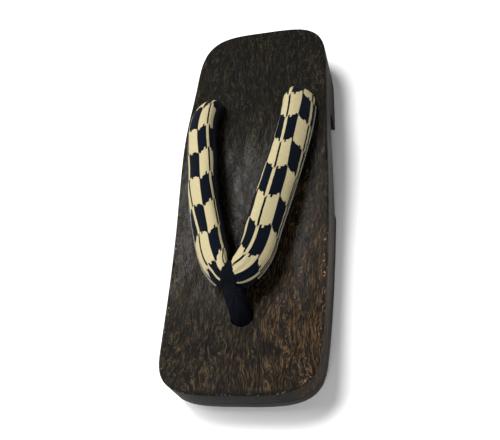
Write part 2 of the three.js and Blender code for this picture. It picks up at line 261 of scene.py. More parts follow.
def ground_line(along):
    share = max((along - SPRING["start"]) / (LENGTH - SPRING["start"]), 0)
    return SPRING["rise"] * share ** SPRING["power"]


def half_width(along):
    from_heel = max(1 - along / HEEL_CAP["length"], 0)
    from_toe = max(1 - (LENGTH - along) / TOE_CAP["length"], 0)
    heel = (1 - from_heel ** HEEL_CAP["power"]) ** (1 / HEEL_CAP["power"])
    toe = (1 - from_toe ** TOE_CAP["power"]) ** (1 / TOE_CAP["power"])
    return max(column(BOARD_ROWS, "half", along) * min(heel, toe), HEEL_CAP["first"])


def outline_stations():
    """Distances along at which the outline has a point, closer together in the rounded ends."""

    def cap(size):
        found = []
        for k in range(1, CAP_STEPS):
            angle = k / CAP_STEPS * math.pi / 2
            found.append(size["length"] * (1 - math.cos(angle) ** (2 / size["power"])))
        return found

    straight = LENGTH - HEEL_CAP["length"] - TOE_CAP["length"]
    steps = round(straight / SIDE_STEP)
    middle = [HEEL_CAP["length"] + straight * k / steps for k in range(steps + 1)]
    return cap(HEEL_CAP) + middle + [LENGTH - s for s in reversed(cap(TOE_CAP))]


# Working on meshes


def nothing_selected():
    bpy.ops.object.select_all(action="DESELECT")


def only(piece):
    nothing_selected()
    piece.select_set(True)
    bpy.context.view_layer.objects.active = piece


def edit(piece):
    """Edit mode on one piece alone, with nothing selected in it."""
    only(piece)
    bpy.ops.object.mode_set(mode="EDIT")
    bpy.ops.mesh.select_all(action="DESELECT")


def leave():
    bpy.ops.object.mode_set(mode="OBJECT")


def pick(piece, rule, kind="VERT"):
    """Selects the vertices, edges or faces of the piece in edit mode for which the rule holds."""
    bpy.ops.mesh.select_mode(type=kind)
    mesh = bmesh.from_edit_mesh(piece.data)
    parts = {"VERT": mesh.verts, "EDGE": mesh.edges, "FACE": mesh.faces}[kind]
    for part in parts:
        part.select_set(False)
    for part in parts:
        if rule(part):
            part.select_set(True)
    mesh.select_flush_mode()
    bmesh.update_edit_mesh(piece.data)


def new_piece(name):
    """The primitive that was just added, with its place applied and its own name."""
    piece = bpy.context.object
    bpy.ops.object.transform_apply(location=True, rotation=True, scale=True)
    piece.name = name
    piece.data.name = name
    return piece


def placed(name, data):
    """A new object in the scene for some data."""
    piece = bpy.data.objects.new(name, data)
    bpy.context.scene.collection.objects.link(piece)
    return piece


def apply_modifiers(piece):
    only(piece)
    for modifier in list(piece.modifiers):
        bpy.ops.object.modifier_apply(modifier=modifier.name)


def smooth(piece, degrees):
    only(piece)
    bpy.ops.object.shade_smooth_by_angle(angle=math.radians(degrees))


def cut(piece, cutter):
    """Takes the cutter's shape out of the piece."""
    modifier = piece.modifiers.new("cut", "BOOLEAN")
    modifier.operation = "DIFFERENCE"
    modifier.solver = "EXACT"
    modifier.object = cutter
    apply_modifiers(piece)
    bpy.data.objects.remove(cutter)


def rod(width, along, out, bottom, top):
    nothing_selected()
    bpy.ops.mesh.primitive_cylinder_add(
        vertices=48, radius=width / 2 * MM, depth=(top - bottom) * MM,
        location=(out * MM, to_y(along) * MM, (top + bottom) / 2 * MM))
    return new_piece("rod")


# The board and its soles


def slab(name, stations, low, high):
    """A block of the board's outline: a cube, cut across at each station, then widened and set
    to its lower and upper height there."""
    nothing_selected()
    first, last = stations[0], stations[-1]
    bpy.ops.mesh.primitive_cube_add(size=1, location=(0, to_y((first + last) / 2) * MM, 0.5))
    bpy.context.object.scale = (1, (last - first) * MM, 1)
    piece = new_piece(name)
    edit(piece)
    for along in stations[1:-1]:
        bpy.ops.mesh.select_all(action="SELECT")
        bpy.ops.mesh.bisect(plane_co=(0, to_y(along) * MM, 0), plane_no=(0, 1, 0))
    for along in stations:
        y = to_y(along) * MM
        pick(piece, lambda v: abs(v.co.y - y) < 1e-6)
        width = 2 * half_width(along) * MM
        bpy.ops.transform.resize(value=(width, 1, 1), center_override=(0, y, 0))
        for level, height in ((0, low(along)), (1, high(along))):
            pick(piece, lambda v: abs(v.co.y - y) < 1e-6 and abs(v.co.z - level) < 1e-6)
            bpy.ops.transform.translate(value=(0, 0, height * MM - level))
    bpy.ops.mesh.select_all(action="SELECT")
    bpy.ops.mesh.normals_make_consistent(inside=False)
    leave()
    return piece


def ease_rim(piece, height, width, segments):
    """Rounds the edges where the sides meet the face at a height that varies along the piece."""
    steep, level_enough, near = 0.35, 0.65, 0.4

    def on_rim(edge):
        if len(edge.link_faces) != 2:
            return False
        level = sorted(abs(face.normal.z) for face in edge.link_faces)
        middle = (edge.verts[0].co + edge.verts[1].co) / 2
        along = LENGTH / 2 - middle.y / MM
        between = level[0] < steep and level[1] > level_enough
        return between and abs(middle.z / MM - height(along)) < near

    edit(piece)
    pick(piece, on_rim, "EDGE")
    bpy.ops.mesh.bevel(offset=width * MM, segments=segments, profile=0.5, clamp_overlap=True)
    leave()


def underside(along):
    """The board's lower face: heel block, arch notch and forefoot."""
    if along < HEEL_FRONT + 0.01:
        return HEEL_PAD_THICKNESS
    if along < HEEL_FRONT + ARCH_ROUND:
        reach = HEEL_FRONT + ARCH_ROUND - along
        return ARCH_HEIGHT - ARCH_ROUND + math.sqrt(max(ARCH_ROUND ** 2 - reach ** 2, 0))
    if along < SOLE_START:
        share = max(along - ARCH_BEND, 0) / (SOLE_START - ARCH_BEND)
        return ARCH_HEIGHT + share * (SOLE_THICKNESS - ARCH_HEIGHT)
    return SOLE_THICKNESS + ground_line(along)


def board_stations():
    notch = [HEEL_FRONT, HEEL_FRONT + HEEL_STEP]
    notch += [HEEL_FRONT + ARCH_ROUND * (1 - math.cos(k / ARCH_STEPS * math.pi / 2))
              for k in range(1, ARCH_STEPS + 1)]
    notch += [ARCH_BEND - BEND_SPREAD, ARCH_BEND, ARCH_BEND + BEND_SPREAD, SOLE_START]
    others = [s for s in outline_stations() if min(abs(s - n) for n in notch) > STATION_GAP]
    return [0] + sorted(others + notch) + [LENGTH]


def mark_rim(piece):
    """Marks the points of the foot face that lie near its edge, for the wear there."""
    rim = piece.data.attributes.new("rim", "FLOAT", "POINT")
    values = []
    for vertex in piece.data.vertices:
        along = min(max(LENGTH / 2 - vertex.co.y / MM, 0), LENGTH)
        near_top = foot_face(along) - vertex.co.z / MM < WORN_RIM["below"]
        inside = min(half_width(along) - abs(vertex.co.x) / MM, along + 1, LENGTH - along + 1)
        values.append(1.0 if near_top and inside < WORN_RIM["inside"] else 0.0)
    rim.data.foreach_set("value", values)


def make_board():
    board = slab("geta_board", board_stations(), underside, foot_face)
    edit(board)
    pick(board, lambda f: f.normal.z > 0.8, "FACE")
    bpy.ops.mesh.inset(thickness=FACE_INSET * MM, depth=0, use_even_offset=True, use_boundary=True)
    leave()
    ease_rim(board, foot_face, EDGE_ROUND, 4)
    ease_rim(board, underside, LOWER_ROUND, 2)
    cut(board, rod(FRONT_HOLE["width"], FRONT_HOLE["along"], 0, 0, 2 * ARCH_HEIGHT))
    cut(board, rod(RECESS["width"], FRONT_HOLE["along"], 0, -1, RECESS["top"]))
    for side in (-1, 1):
        out = side * REAR_HOLE["out"]
        cut(board, rod(REAR_HOLE["width"], REAR_HOLE["along"], out, 0, 2 * ARCH_HEIGHT))
    mark_rim(board)
    smooth(board, SMOOTH_ANGLE)
    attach(board, "root")
    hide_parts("board")
    return board


def make_forefoot_sole():
    stations = [SOLE_START, SOLE_START + END_STEP]
    stations += [s for s in outline_stations() if s > SOLE_START + 2 * END_STEP]
    sole = slab("forefoot_rubber", stations + [LENGTH], ground_line,
                lambda along: ground_line(along) + SOLE_THICKNESS - FIT)
    ease_rim(sole, ground_line, RUBBER_ROUND, 3)
    ease_rim(sole, lambda along: ground_line(along) + SOLE_THICKNESS - FIT, RUBBER_EASE, 2)
    cut(sole, rod(RECESS["width"], FRONT_HOLE["along"], 0, -1, RECESS["top"]))
    smooth(sole, SMOOTH_ANGLE)
    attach(sole, "root")
    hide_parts("forefoot_sole")
    return sole


def make_heel_sole():
    stations = [0] + [s for s in outline_stations() if s < HEEL_FRONT - END_STEP]
    stations += [HEEL_FRONT]
    sole = slab("heel_rubber", stations, lambda along: 0, lambda along: HEEL_PAD_THICKNESS - FIT)
    ease_rim(sole, lambda along: 0, RUBBER_ROUND, 3)
    ease_rim(sole, lambda along: HEEL_PAD_THICKNESS - FIT, RUBBER_EASE, 2)
    smooth(sole, SMOOTH_ANGLE)
    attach(sole, "root")
    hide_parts("heel_sole")
    return sole


# The strap


def arm_rows(arm, side):
    """An arm's rows as places and as shapes: breadth, thickness, heading and lean."""
    rows = [dict(zip(ARM_COLUMNS, row)) for row in arm]
    places = [(side * r["out"], to_y(r["along"]), r["up"]) for r in rows]
    shapes = [(r["wide"], r["thick"], side * r["turn"], r["lean"]) for r in rows]
    return places, shapes


def strap_rows():
    """The whole strap from the left rear end round the crossing to the right rear end."""
    left, left_shapes = arm_rows(LEFT_ARM[:-1], 1)
    right, right_shapes = arm_rows(RIGHT_ARM[:-1], -1)
    right_shapes = [(w, t, turn + 180, lean) for w, t, turn, lean in right_shapes]
    middle = (LEFT_ARM[-1][1], to_y(LEFT_ARM[-1][0]), LEFT_ARM[-1][2])
    wide, thick, turn, lean = LEFT_ARM[-1][3:]
    places = left + [middle] + right[::-1]
    shapes = left_shapes + [(wide, thick, turn, lean)] + right_shapes[::-1]
    return np.array(places, float), np.array(shapes, float)


def running(steps):
    """The distance covered after each step, from 0."""
    return np.concatenate([[0], np.cumsum(steps)])


def spans(points):
    return np.linalg.norm(np.diff(points[:, :3], axis=0), axis=1)


def spline(points, step):
    """A smooth curve through points that lie unevenly, step points to each of its spans."""
    knots = running(np.sqrt(spans(points)))
    slopes = np.gradient(points, knots, axis=0)
    found = []
    for i in range(len(points) - 1):
        span = knots[i + 1] - knots[i]
        for t in np.arange(step) / step:
            found.append(
                (1 + 2 * t) * (1 - t) ** 2 * points[i] + t * t * (3 - 2 * t) * points[i + 1]
                + span * (t * (1 - t) ** 2 * slopes[i] - t * t * (1 - t) * slopes[i + 1]))
    return np.array(found + [points[-1]])


def strap_rings():
    """The strap's section at even steps along it: place, distance, breadth and face directions."""
    places, shapes = strap_rows()
    line = spline(np.hstack([places, shapes]), PATH_STEPS)
    length = running(spans(line))
    steps = round(length[-1] / RING_STEP)
    at = np.linspace(0, length[-1], steps + 1)
    even = np.array([np.interp(at, length, line[:, k]) for k in range(line.shape[1])]).T
    slope = np.gradient(even[:, :3], axis=0)
    rings = []
    for row, rise, distance in zip(even, slope, at):
        turn, lean = math.radians(row[5]), math.radians(row[6])
        heading = Vector((-math.sin(turn), -math.cos(turn), 0))
        outward = Vector((math.cos(turn), -math.sin(turn), 0))
        ahead = Vector(rise).dot(heading)
        direction = (heading * ahead + Vector((0, 0, rise[2]))).normalized()
        above = direction.cross(outward)
        breadth = outward * math.cos(lean) - above * math.sin(lean)
        face = outward * math.sin(lean) + above * math.cos(lean)
        rings.append({
            "place": Vector(row[:3]), "distance": distance, "wide": row[3], "thick": row[4],
            "breadth": breadth, "face": face})
    return rings


def oval(wide, thick, steps=720):
    """Points of the padding's section, and their distance round it from the ridge of its face."""
    angle = np.linspace(-np.pi, np.pi, steps + 1)
    across = np.sin(angle)
    up = np.cos(angle)
    x = wide / 2 * np.sign(across) * np.abs(across) ** (2 / STRAP_POWER)
    z = thick / 2 * np.sign(up) * np.abs(up) ** (2 / STRAP_POWER)
    reach = running(np.hypot(np.diff(x), np.diff(z)))
    return x, z, reach - reach[steps // 2]


def girth_places():
    """Even places round the padding as a share of its half girth, with rows set at the seams."""
    half = oval(*GIRTH_OVAL)[2][-1]
    seams = [INNER_SEAM / half, OUTER_SEAM / half]
    near = SEAM_REACH / half
    even = [-1 + 2 * k / GIRTH_STEPS for k in range(GIRTH_STEPS)]
    kept = [s for s in even if min(abs(s - seam) for seam in seams) > 1.6 * near]
    return np.array(sorted(kept + [seam + d for seam in seams for d in (-near, 0, near)])), half


def loft(name, rings):
    """A closed body through rings of points in millimetres, with a flat fan over each end."""
    sides = len(rings[0])
    mesh = bmesh.new()
    grid = [[mesh.verts.new(Vector(p) * MM) for p in ring] for ring in rings]
    for lower, upper in zip(grid, grid[1:]):
        for k in range(sides):
            n = (k + 1) % sides
            mesh.faces.new((lower[k], lower[n], upper[n], upper[k]))
    mesh.faces.new(grid[0][::-1])
    mesh.faces.new(grid[-1])
    bmesh.ops.recalc_face_normals(mesh, faces=mesh.faces)
    data = bpy.data.meshes.new(name)
    mesh.to_mesh(data)
    mesh.free()
    return placed(name, data)


def section_point(ring, share, grow=0.0):
    """A point of the padding's skin at a share of its half girth from the ridge of its face."""
    x, z, reach = oval(ring["wide"] + 2 * grow, ring["thick"] + 2 * grow)
    at = share * reach[-1]
    return (ring["place"] + ring["breadth"] * float(np.interp(at, reach, x))
            + ring["face"] * float(np.interp(at, reach, z)))


def seam_sink(reach):
    """How deep the skin lies under the padding's oval at a distance round it: the two seams."""
    sink = 0.0
    for seam in (OUTER_SEAM, INNER_SEAM):
        sink += SEAM_DEPTH * math.exp(-((reach - seam) / SEAM_REACH) ** 2)
    return sink


def strap_skin(ring, share, half, total):
    """A point of the sewn strap's skin: the oval with its seams and the gathers at its crossing."""
    distance = ring["distance"]
    reach = share * half
    from_middle = abs(distance - total / 2)
    gather = GATHER["depth"] * math.exp(-(from_middle / GATHER["reach"]) ** 2)
    gather *= math.sin(reach * GATHER["waves"] + GATHER["start"])
    pucker = 0.0
    for row in PUCKERS:
        wave = row["depth"] * math.sin(distance * row["waves"] + row["start"])
        pucker += wave * math.exp(-((reach - row["seam"]) / PUCKER_REACH) ** 2)
    swell = SWELL["depth"] * math.sin(distance * SWELL["waves"])
    swell *= math.sin(distance * SWELL["drift"] + reach * SWELL["turn"])
    return section_point(ring, share, swell + gather + pucker - seam_sink(reach))


def make_strap():
    rings = strap_rings()
    shares, half = girth_places()
    total = rings[-1]["distance"]
    columns = len(shares)
    nothing_selected()
    bpy.ops.mesh.primitive_grid_add(
        x_subdivisions=columns, y_subdivisions=len(rings) - 1, size=1, calc_uvs=True)
    strap = new_piece("padded_strap")
    mesh = bmesh.new()
    mesh.from_mesh(strap.data)
    mesh.verts.ensure_lookup_table()
    uv = mesh.loops.layers.uv.active
    wide = columns + 1
    marks, blocks, *lines = (np.array(row) for row in zip(*PATTERN_ROWS))
    charted = np.array([-1.5, -0.5, 0, 0.5, 1, 2]) * COLUMN_WIDTH
    spots = {}
    for vertex in mesh.verts:
        row, k = divmod(vertex.index, wide)
        share = shares[k] if k < columns else 1.0
        mark = rings[row]["distance"] - total / 2
        block = float(np.interp(mark, marks, blocks))
        inner, between, outer = (float(np.interp(mark, marks, line)) for line in lines)
        reach = share * half
        edge = inner - INNER_HALF
        chart = np.interp(reach, (
            edge - COLUMN_WIDTH, edge, inner, between, outer, outer + COLUMN_WIDTH), charted)
        spots[vertex.index] = (block * BLOCK_LENGTH * MM, float(chart) * MM, reach)
        vertex.co = strap_skin(rings[row], share, half, total) * MM
    for face in mesh.faces:
        middle = sum(spots[v.index][2] for v in face.verts) / len(face.verts)
        face.material_index = 0 if INNER_SEAM < middle < OUTER_SEAM else 1
        face.smooth = True
        for loop in face.loops:
            loop[uv].uv = spots[loop.vert.index][:2]
    bmesh.ops.remove_doubles(mesh, verts=mesh.verts, dist=0.02 * MM)
    bmesh.ops.recalc_face_normals(mesh, faces=mesh.faces)
    mesh.to_mesh(strap.data)
    mesh.free()
    strap.data.uv_layers.active.name = "cloth"
    seat_strap(strap)
    strap.modifiers.new("soft", "SUBSURF").levels = 1
    strap.modifiers["soft"].render_levels = 1
    apply_modifiers(strap)
    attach(strap, "root")
    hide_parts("strap")
    return strap, rings, half


def seat_strap(strap):
    """Cuts the strap's ends off where they meet the board, and lays it on the board there."""
    middle, reach, lift = STRAP_SEAT["along"], STRAP_SEAT["reach"], STRAP_SEAT["lift"]
    rear = to_y(middle + STRAP_SEAT["rear"]) * MM
    drop = foot_face(middle + reach) - foot_face(middle - reach)
    edit(strap)
    pick(strap, lambda f: all(v.co.y > rear for v in f.verts), "FACE")
    bpy.ops.mesh.bisect(
        plane_co=(0, to_y(middle) * MM, (foot_face(middle) + lift) * MM),
        plane_no=(0, drop / (2 * reach), 1), use_fill=True, clear_inner=True)
    leave()
    for vertex in strap.data.vertices:
        along = LENGTH / 2 - vertex.co.y / MM
        vertex.co.z = max(vertex.co.z, (foot_face(along) + lift) * MM)


def cord_curve(name, radius, resolution):
    curve = bpy.data.curves.new(name, "CURVE")
    curve.dimensions = "3D"
    curve.bevel_depth = radius * MM
    curve.bevel_resolution = resolution
    curve.use_fill_caps = True
    return curve


def make_piping(rings, half):
    """The thin cord sewn into the outer seam, from the rear end of each arm to the crossing."""
    pieces = []
    total = rings[-1]["distance"]
    share = (OUTER_SEAM + PIPING["past_seam"]) / half
    rear, front = PIPING["rear"], PIPING["front"]
    for name, first, last in (
            ("piping_left", rear, total / 2 - front),
            ("piping_right", total / 2 + front, total - rear)):
        line = [section_point(r, share, PIPING["raised"]) * MM
                for r in rings if first < r["distance"] < last]
        curve = cord_curve(name, PIPING["radius"], 3)
        path = curve.splines.new("NURBS")
        path.points.add(len(line) - 1)
        for point, place in zip(path.points, line):
            point.co = (*place, 1)
        path.use_endpoint_u = True
        pieces.append(as_mesh(placed(name, curve)))
    for piece in pieces:
        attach(piece, "root")
    return pieces


def as_mesh(piece):
    only(piece)
    bpy.ops.object.convert(target="MESH")
    for polygon in bpy.context.object.data.polygons:
        polygon.use_smooth = True
    return bpy.context.object


# The thong


def band_rings(rings, grow_edge, grow_crown, front, back):
    """Rings of a sleeve round the strap's crossing, thickest in its middle and widest in front."""
    out = THONG_ROWS[-1]["out"]
    crossing = min(rings, key=lambda r: abs(r["place"].x - out))
    wide, thick = LEFT_ARM[-1][3:5]
    ring = {"wide": wide, "thick": thick}
    for name, x in (("place", out), ("breadth", 0), ("face", 0)):
        ring[name] = Vector((x, crossing[name].y, crossing[name].z))
    across = Vector((1, 0, 0))
    found = []
    for x, cover in BAND_COVER:
        grow = grow_edge + cover * (grow_crown - grow_edge)
        points = []
        for k in range(THONG_SIDES):
            share = -1 + 2 * k / THONG_SIDES
            half = (front + back) / 2 + (front - back) / 2 * math.sin(math.pi * share)
            points.append(section_point(ring, share, grow) - across * x * half)
        found.append(points)
    return found


def stem_rings():
    rows = [(r["out"], to_y(r["along"]), r["up"], r["wide"], r["deep"]) for r in THONG_ROWS]
    line = spline(np.array(rows, float), STEM_STEPS)
    slope = np.gradient(line[:, :3], axis=0)
    right = Vector((1, 0, 0))
    found = []
    for row, rise in zip(line, slope):
        back = Vector(rise).normalized().cross(right)
        place = Vector(row[:3])
        found.append([
            place + right * (row[3] / 2 * math.cos(a)) + back * (row[4] / 2 * math.sin(a))
            for a in (2 * math.pi * k / THONG_SIDES for k in range(THONG_SIDES))])
    return found


def make_thong(rings):
    stem = loft("toe_loop", stem_rings())
    band = loft("band", band_rings(rings, BAND["edge"], BAND["crown"], BAND["front"], BAND["back"]))
    nothing_selected()
    band.select_set(True)
    stem.select_set(True)
    bpy.context.view_layer.objects.active = stem
    bpy.ops.object.join()
    thong = bpy.context.object
    thong.data.remesh_voxel_size = THONG_VOXEL * MM
    bpy.ops.object.voxel_remesh()
    settle = thong.modifiers.new("settle", "SMOOTH")
    settle.factor = 0.6
    settle.iterations = 6
    apply_modifiers(thong)
    fold_thong(thong)
    clear, reach = PASSAGE["clear"], BAND["front"] + PASSAGE["longer"]
    cut(thong, loft("passage", band_rings(rings, clear, clear, reach, reach)))
    for polygon in thong.data.polygons:
        polygon.use_smooth = True
    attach(thong, "root")
    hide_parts("toe_thong")
    return thong


def fold_thong(thong):
    """Soft folds along the loop, where the cloth is wrapped round its cord."""
    for vertex in thong.data.vertices:
        x, up = vertex.co.x / MM, vertex.co.z / MM
        along = LENGTH / 2 - vertex.co.y / MM
        turn = math.atan2(x, along - FOLD_AXIS)
        depth = 0.0
        for fold in FOLDS:
            wave = math.sin(fold["number"] * turn + fold["slant"] * up + fold["start"])
            depth += fold["depth"] * wave
        fade = min(max((up - FOLD_FOOT["up"]) / FOLD_FOOT["fade"], 0), 1)
        vertex.co += vertex.normal * depth * fade * MM


def make_knot(name, out, along, knot, stem_top):
    """A cord end that comes down its hole and is tied in a flat trefoil under the wood."""
    curve = cord_curve(name, CORD_RADIUS, 4)
    tie = curve.splines.new("NURBS")
    tie.points.add(KNOT_STEPS - 1)
    y, up, third = to_y(along), knot["up"], knot["radius"] / 3
    for k, point in enumerate(tie.points):
        t = 2 * math.pi * k / KNOT_STEPS
        across = third * (math.sin(t) + 2 * math.sin(2 * t))
        ahead = third * (math.cos(t) - 2 * math.cos(2 * t))
        level = -knot["height"] / 2 * math.sin(3 * t)
        point.co = ((out + across) * MM, (y + ahead) * MM, (up + level) * MM, 1)
    tie.use_cyclic_u = True
    stem = curve.splines.new("POLY")
    stem.points.add(1)
    stem.points[0].co = (out * MM, y * MM, up * MM, 1)
    stem.points[1].co = (out * MM, y * MM, stem_top * MM, 1)
    for point in stem.points:
        point.radius = STEM_SWELL
    piece = as_mesh(placed(name, curve))
    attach(piece, "root")
    return piece


def make_knots():
    along = REAR_HOLE["along"]
    top = foot_face(along) - REAR_CORD_SHORT
    return [
        make_knot("rear_knot_left", REAR_HOLE["out"], along, REAR_KNOT, top),
        make_knot("rear_knot_right", -REAR_HOLE["out"], along, REAR_KNOT, top),
        make_knot("front_knot", 0, FRONT_HOLE["along"], FRONT_KNOT, FRONT_KNOT["stem_top"]),
    ]


# Finishes


class Finish:
    """A material that is put together from nodes. Lengths in its patterns are millimetres."""

    def __init__(self, name):
        self.material = bpy.data.materials.new(name)
        self.material.use_nodes = True
        self.tree = self.material.node_tree
        self.shader = self.tree.nodes["Principled BSDF"]

    def node(self, kind, *values, **settings):
        made = self.tree.nodes.new(kind)
        for name, value in settings.items():
            setattr(made, name, value)
        for socket, value in zip(made.inputs, values):
            self.give(socket, value)
        return made

    def give(self, socket, value):
        if isinstance(value, bpy.types.NodeSocket):
            self.tree.links.new(value, socket)
        elif value is not None:
            socket.default_value = value

    def place(self):
        """Object coordinates in millimetres."""
        source = self.node("ShaderNodeTexCoord").outputs["Object"]
        return self.stretch(source, (1 / MM, 1 / MM, 1 / MM))

    def cloth_place(self):
        """The distance along the strap and the distance round it, in millimetres."""
        source = self.node("ShaderNodeUVMap", uv_map="cloth").outputs["UV"]
        return self.apart(self.stretch(source, (1 / MM, 1 / MM, 1)))[:2]

    def stretch(self, vector, scale):
        made = self.node("ShaderNodeVectorMath", vector, scale, operation="MULTIPLY")
        return made.outputs["Vector"]

    def apart(self, vector):
        made = self.node("ShaderNodeSeparateXYZ", vector)
        return made.outputs["X"], made.outputs["Y"], made.outputs["Z"]

    def join(self, x, y, z=0.0):
        return self.node("ShaderNodeCombineXYZ", x, y, z).outputs["Vector"]

    def math(self, operation, *values, clamp=False):
        made = self.node("ShaderNodeMath", *values, operation=operation)
        made.use_clamp = clamp
        return made.outputs["Value"]

    def noise(self, vector, scale=1.0, detail=3.0, roughness=0.55):
        made = self.node("ShaderNodeTexNoise", vector)
        for name, value in (("Scale", scale), ("Detail", detail), ("Roughness", roughness)):
            made.inputs[name].default_value = value
        return made.outputs["Fac"]

    def step(self, value, low, high, first=0.0, last=1.0):
        """A soft step from first to last as the value goes from low to high."""
        made = self.node("ShaderNodeMapRange", value, low, high, first, last,
                         interpolation_type="SMOOTHSTEP")
        return made.outputs["Result"]

    def blend(self, share, first, second, kind="MIX"):
        made = self.node("ShaderNodeMix", data_type="RGBA", blend_type=kind)
        self.give(made.inputs[0], share)
        self.give(made.inputs[6], first)
        self.give(made.inputs[7], second)
        return made.outputs[2]

    def ramp(self, value, *stops):
        made = self.node("ShaderNodeValToRGB", value)
        elements = made.color_ramp.elements
        for k, (position, colour) in enumerate(stops):
            element = elements[k] if k < 2 else elements.new(position)
            element.position = position
            element.color = (*colour, 1)
        return made.outputs["Color"]

    def bump(self, height, depth, strength=1.0, under=None):
        made = self.node("ShaderNodeBump")
        made.inputs["Strength"].default_value = strength
        made.inputs["Distance"].default_value = depth * MM
        self.give(made.inputs["Height"], height)
        self.give(made.inputs["Normal"], under)
        return made.outputs["Normal"]

    def done(self, colour, roughness, normal=None, **constants):
        self.give(self.shader.inputs["Base Color"], colour)
        self.give(self.shader.inputs["Roughness"], roughness)
        self.give(self.shader.inputs["Normal"], normal)
        for name, value in constants.items():
            self.shader.inputs[name.replace("_", " ")].default_value = value
        return self.material


# The scorched wood's colour by the value of its streaks: where it is charred, where it is warm,
# and the tint that darkens it towards the heel end.
CHARRED = [
    (0.42, (0.0012, 0.001, 0.0006)),
    (0.49, (0.004, 0.0033, 0.0019)),
    (0.54, (0.0105, 0.0084, 0.0048)),
    (0.62, (0.036, 0.028, 0.016)),
]
WARM = [
    (0.42, (0.0016, 0.0009, 0.0003)),
    (0.49, (0.0105, 0.0062, 0.0026)),
    (0.54, (0.033, 0.0188, 0.0078)),
    (0.62, (0.105, 0.059, 0.026)),
]
HEEL_TINT = (0.75, 0.75, 0.7, 1)
TOE_END_CHAR = (0.0028, 0.0028, 0.0024, 1)
BARE_WOOD = (0.36, 0.26, 0.17, 1)

# Where the wood's finish changes: the places, in millimetres, at which a change starts and ends.
WARM_TOE = (40.0, -80.0)
WARM_OUTER_SIDE = (-12.0, 42.0)
WARM_LOW = (21.0, 8.0)
TOE_END = (-121.0, -124.0)
DARK_HEEL = (30.0, 75.0)
WEAR_FORWARD = (20.0, -60.0)
WAX_FRONT = (-92.0, -50.0)
WAX_REAR = (52.0, 22.0)
WAX_SIDE = (50.0, 0.0)
SATIN = (0.26, 0.37)
DULL = 0.66

# The fibres' slow wander to each side, its curls and its ripples, in millimetres.
WANDER = 30.0
CURL = 9.0
RIPPLE = 2.0


def wood_grain(f):
    """Fibres that run along the board and wander in curls, and the figure of its year rings."""
    x, y, z = f.apart(f.place())

    def fibres(across, along, deep, by, detail, roughness):
        return f.noise(f.join(f.math("MULTIPLY", across, by[0]), f.math("MULTIPLY", along, by[1]),
                              f.math("MULTIPLY", deep, by[0])), 1.0, detail, roughness)

    slow = fibres(x, y, z, (0.035, 0.014), 2.0, 0.5)
    curl = fibres(x, y, z, (0.12, 0.05), 2.0, 0.5)
    ripple = fibres(x, y, z, (0.26, 0.2), 1.0, 0.5)
    shift = f.math("MULTIPLY_ADD", f.math("SUBTRACT", slow, 0.5), WANDER,
                   f.math("MULTIPLY_ADD", f.math("SUBTRACT", curl, 0.5), CURL,
                          f.math("MULTIPLY", f.math("SUBTRACT", ripple, 0.5), RIPPLE)))
    across = f.math("ADD", x, shift)
    deep = f.math("MULTIPLY_ADD", shift, 0.4, z)
    fine = fibres(across, y, deep, (1.25, 0.095), 3.0, 0.62)
    hair = fibres(across, y, deep, (3.0, 0.27), 2.0, 0.6)
    broad = fibres(across, y, deep, (0.05, 0.008), 2.0, 0.5)
    figure = f.math("SINE", f.math("MULTIPLY_ADD", broad, 75.0, f.math("MULTIPLY", fine, 5.0)))
    return (x, y, z), fine, hair, figure


def scorched_wood():
    f = Finish("scorched_wood")
    (x, y, z), fine, hair, figure = wood_grain(f)
    streak = f.math("ADD", f.math("MULTIPLY", fine, 0.6), f.math("MULTIPLY", hair, 0.4))
    streak = f.math("MULTIPLY_ADD", figure, 0.018, streak)
    patch_place = f.join(f.math("MULTIPLY", x, 0.05), f.math("MULTIPLY", y, 0.03), 0.0)
    patch = f.noise(patch_place, detail=2.0)
    toe = f.step(y, *WARM_TOE)
    outer = f.step(x, *WARM_OUTER_SIDE)
    low = f.step(z, *WARM_LOW)
    end = f.step(y, *TOE_END)
    warmth = f.math("ADD", f.math("MULTIPLY", f.math("MULTIPLY", toe, outer), 0.75),
                    f.math("MULTIPLY_ADD", toe, 0.3, f.math("MULTIPLY", low, 0.7)))
    warmth = f.math("MULTIPLY", warmth, f.step(patch, 0.3, 0.6, 0.35, 1.0), clamp=True)
    char = f.ramp(streak, *CHARRED)
    warm = f.ramp(streak, *WARM)
    colour = f.blend(warmth, char, warm)
    # Darker towards the heel end.
    heel = f.step(y, *DARK_HEEL)
    colour = f.blend(heel, colour, HEEL_TINT, "MULTIPLY")
    colour = f.blend(f.math("MULTIPLY", end, 0.85), colour, TOE_END_CHAR)
    rim = f.node("ShaderNodeAttribute", attribute_name="rim").outputs["Fac"]
    flecks = f.noise(f.join(f.math("MULTIPLY", x, 0.5), f.math("MULTIPLY", y, 0.45),
                            f.math("MULTIPLY", z, 1.2)), detail=4.0, roughness=0.7)
    worn = f.math("MULTIPLY", f.step(rim, 0.55, 0.95), f.step(flecks, 0.6, 0.66))
    worn = f.math("MULTIPLY", worn, f.step(y, *WEAR_FORWARD, 0.15, 1.0))
    colour = f.blend(f.math("MULTIPLY", worn, 0.75), colour, BARE_WOOD)
    waxed = f.math("MULTIPLY", f.step(y, *WAX_FRONT), f.step(y, *WAX_REAR))
    waxed = f.math("MULTIPLY", waxed, f.step(x, *WAX_SIDE, 0.55, 1.0))
    satin = f.step(streak, 0.42, 0.62, *SATIN)
    roughness = f.math("MULTIPLY_ADD", f.math("SUBTRACT", DULL, satin),
                       f.math("SUBTRACT", 1.0, waxed), satin)
    relief = f.math("ADD", f.math("MULTIPLY", fine, 0.7), f.math("MULTIPLY", hair, 0.45))
    normal = f.bump(relief, 0.6, 0.75)
    return f.done(colour, roughness, normal, Specular_IOR_Level=0.1)


